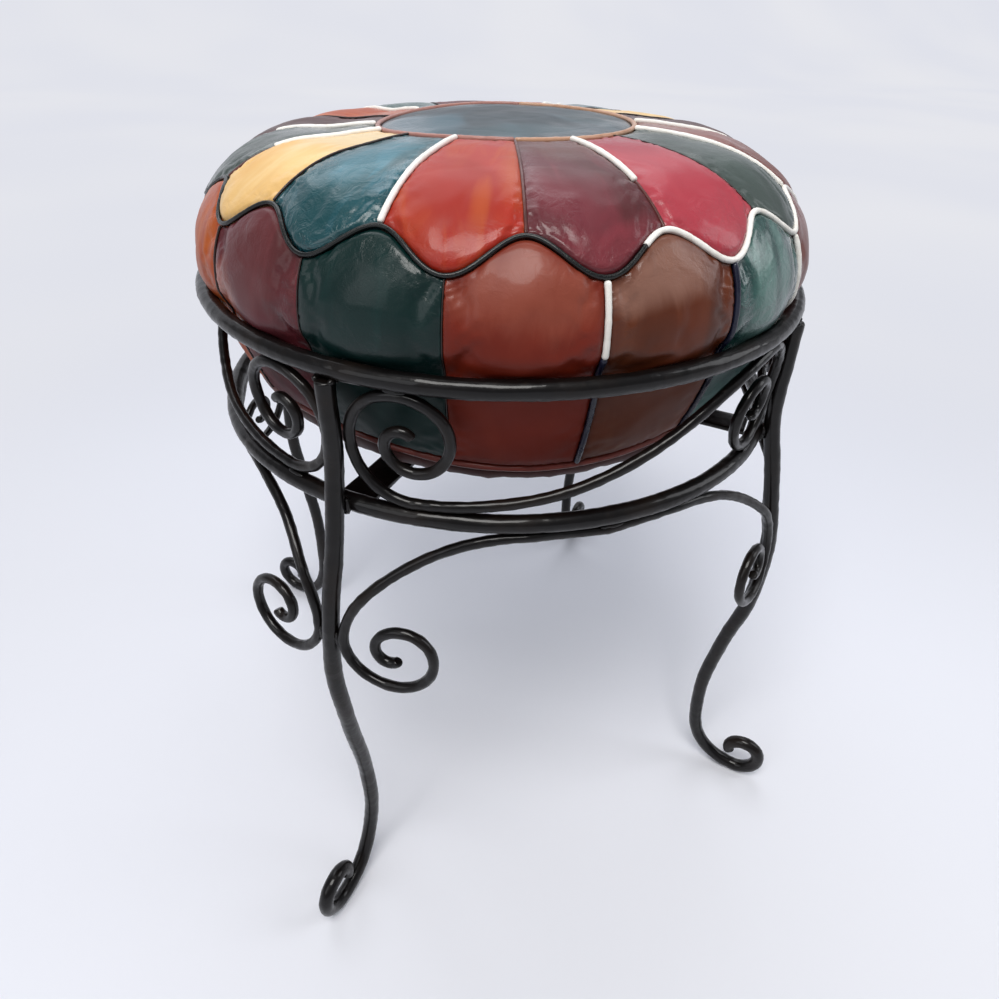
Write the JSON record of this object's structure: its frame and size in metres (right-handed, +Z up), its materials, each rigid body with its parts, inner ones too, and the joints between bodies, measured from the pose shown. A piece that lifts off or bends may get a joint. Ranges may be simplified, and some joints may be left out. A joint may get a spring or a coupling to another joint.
{
  "type": "moroccan kursi stool",
  "caption": "Round stool: a patchwork leather cushion of petals and side panels, loose in the ring of a wrought iron stand with curled legs and scrollwork.",
  "frame": {"origin": "on the floor, on the stool's upright axis", "axes": "+Z up; -Y faces out through the middle of the front panel between two legs; the zip is at +Y"},
  "size_m": [0.374, 0.374, 0.4813],
  "materials": {
    "black_iron": "black enamel over hammered round bar, worn to a dark bronze sheen",
    "filling": "stuffed cotton waste",
    "leather_slate": "dyed goat leather with a soft polish, mottled and creased",
    "leather_plum": "dyed goat leather with a soft polish, mottled and creased",
    "leather_crimson": "dyed goat leather with a soft polish, mottled and creased",
    "leather_greygreen": "dyed goat leather with a soft polish, mottled and creased",
    "leather_pink": "dyed goat leather with a soft polish, mottled and creased",
    "leather_maroon": "dyed goat leather with a soft polish, mottled and creased",
    "leather_cream": "dyed goat leather with a soft polish, mottled and creased",
    "leather_teal": "dyed goat leather with a soft polish, mottled and creased",
    "leather_orange": "dyed goat leather with a soft polish, mottled and creased",
    "leather_steel": "dyed goat leather with a soft polish, mottled and creased",
    "leather_amber": "dyed goat leather with a soft polish, mottled and creased",
    "leather_brown": "dyed goat leather with a soft polish, mottled and creased",
    "leather_bottle": "dyed goat leather with a soft polish, mottled and creased",
    "leather_rust": "dyed goat leather with a soft polish, mottled and creased",
    "cord_tan": "tan leather piping",
    "cord_dark": "dark leather piping, white on some seams",
    "zip_tape": "woven zip tape",
    "zip_metal": "zinc plated zip"
  },
  "bodies": {
    "stand": {"upper_ring": "black_iron", "lower_ring": "black_iron", "leg_1": "black_iron", "leg_2": "black_iron", "leg_3": "black_iron", "leg_4": "black_iron", "upper_scroll_1": "black_iron", "upper_scroll_2": "black_iron", "upper_scroll_3": "black_iron", "upper_scroll_4": "black_iron", "lower_scroll_1": "black_iron", "lower_scroll_2": "black_iron", "lower_scroll_3": "black_iron", "lower_scroll_4": "black_iron", "strap_1": "black_iron", "strap_2": "black_iron"},
    "cushion": {"filling": "filling", "top_disc": "leather_slate", "petal_01": "leather_plum", "petal_02": "leather_crimson", "petal_03": "leather_greygreen", "petal_04": "leather_pink", "petal_05": "leather_maroon", "petal_06": "leather_cream", "petal_07": "leather_teal", "petal_08": "leather_orange", "petal_09": "leather_plum", "petal_10": "leather_steel", "petal_11": "leather_amber", "petal_12": "leather_maroon", "petal_13": "leather_greygreen", "petal_14": "leather_cream", "petal_15": "leather_teal", "petal_16": "leather_orange", "side_panel_01": "leather_brown", "side_panel_02": "leather_steel", "side_panel_03": "leather_pink", "side_panel_04": "leather_amber", "side_panel_05": "leather_bottle", "side_panel_06": "leather_plum", "side_panel_07": "leather_rust", "side_panel_08": "leather_brown", "side_panel_09": "leather_steel", "side_panel_10": "leather_maroon", "side_panel_11": "leather_bottle", "side_panel_12": "leather_rust", "side_panel_13": "leather_amber", "side_panel_14": "leather_plum", "side_panel_15": "leather_bottle", "side_panel_16": "leather_rust", "base_leather": "leather_maroon", "rim_cord": "cord_tan", "base_welt": "cord_dark", "seam_piping": "cord_dark", "zip_tape": "zip_tape", "zip_chain": "zip_metal"},
    "zip_runner": {"zip_slider": "zip_metal", "zip_pull": "zip_metal"}
  },
  "joints": [
    {"name": "cushion_lift", "type": "slide", "parent": "stand", "child": "cushion", "axis": [0, 0, 1], "range_m": [0, 0.1]},
    {"name": "zip_slide", "type": "slide", "parent": "cushion", "child": "zip_runner", "axis": [1, 0, 0], "range_m": [0, 0.09]}
  ]
}
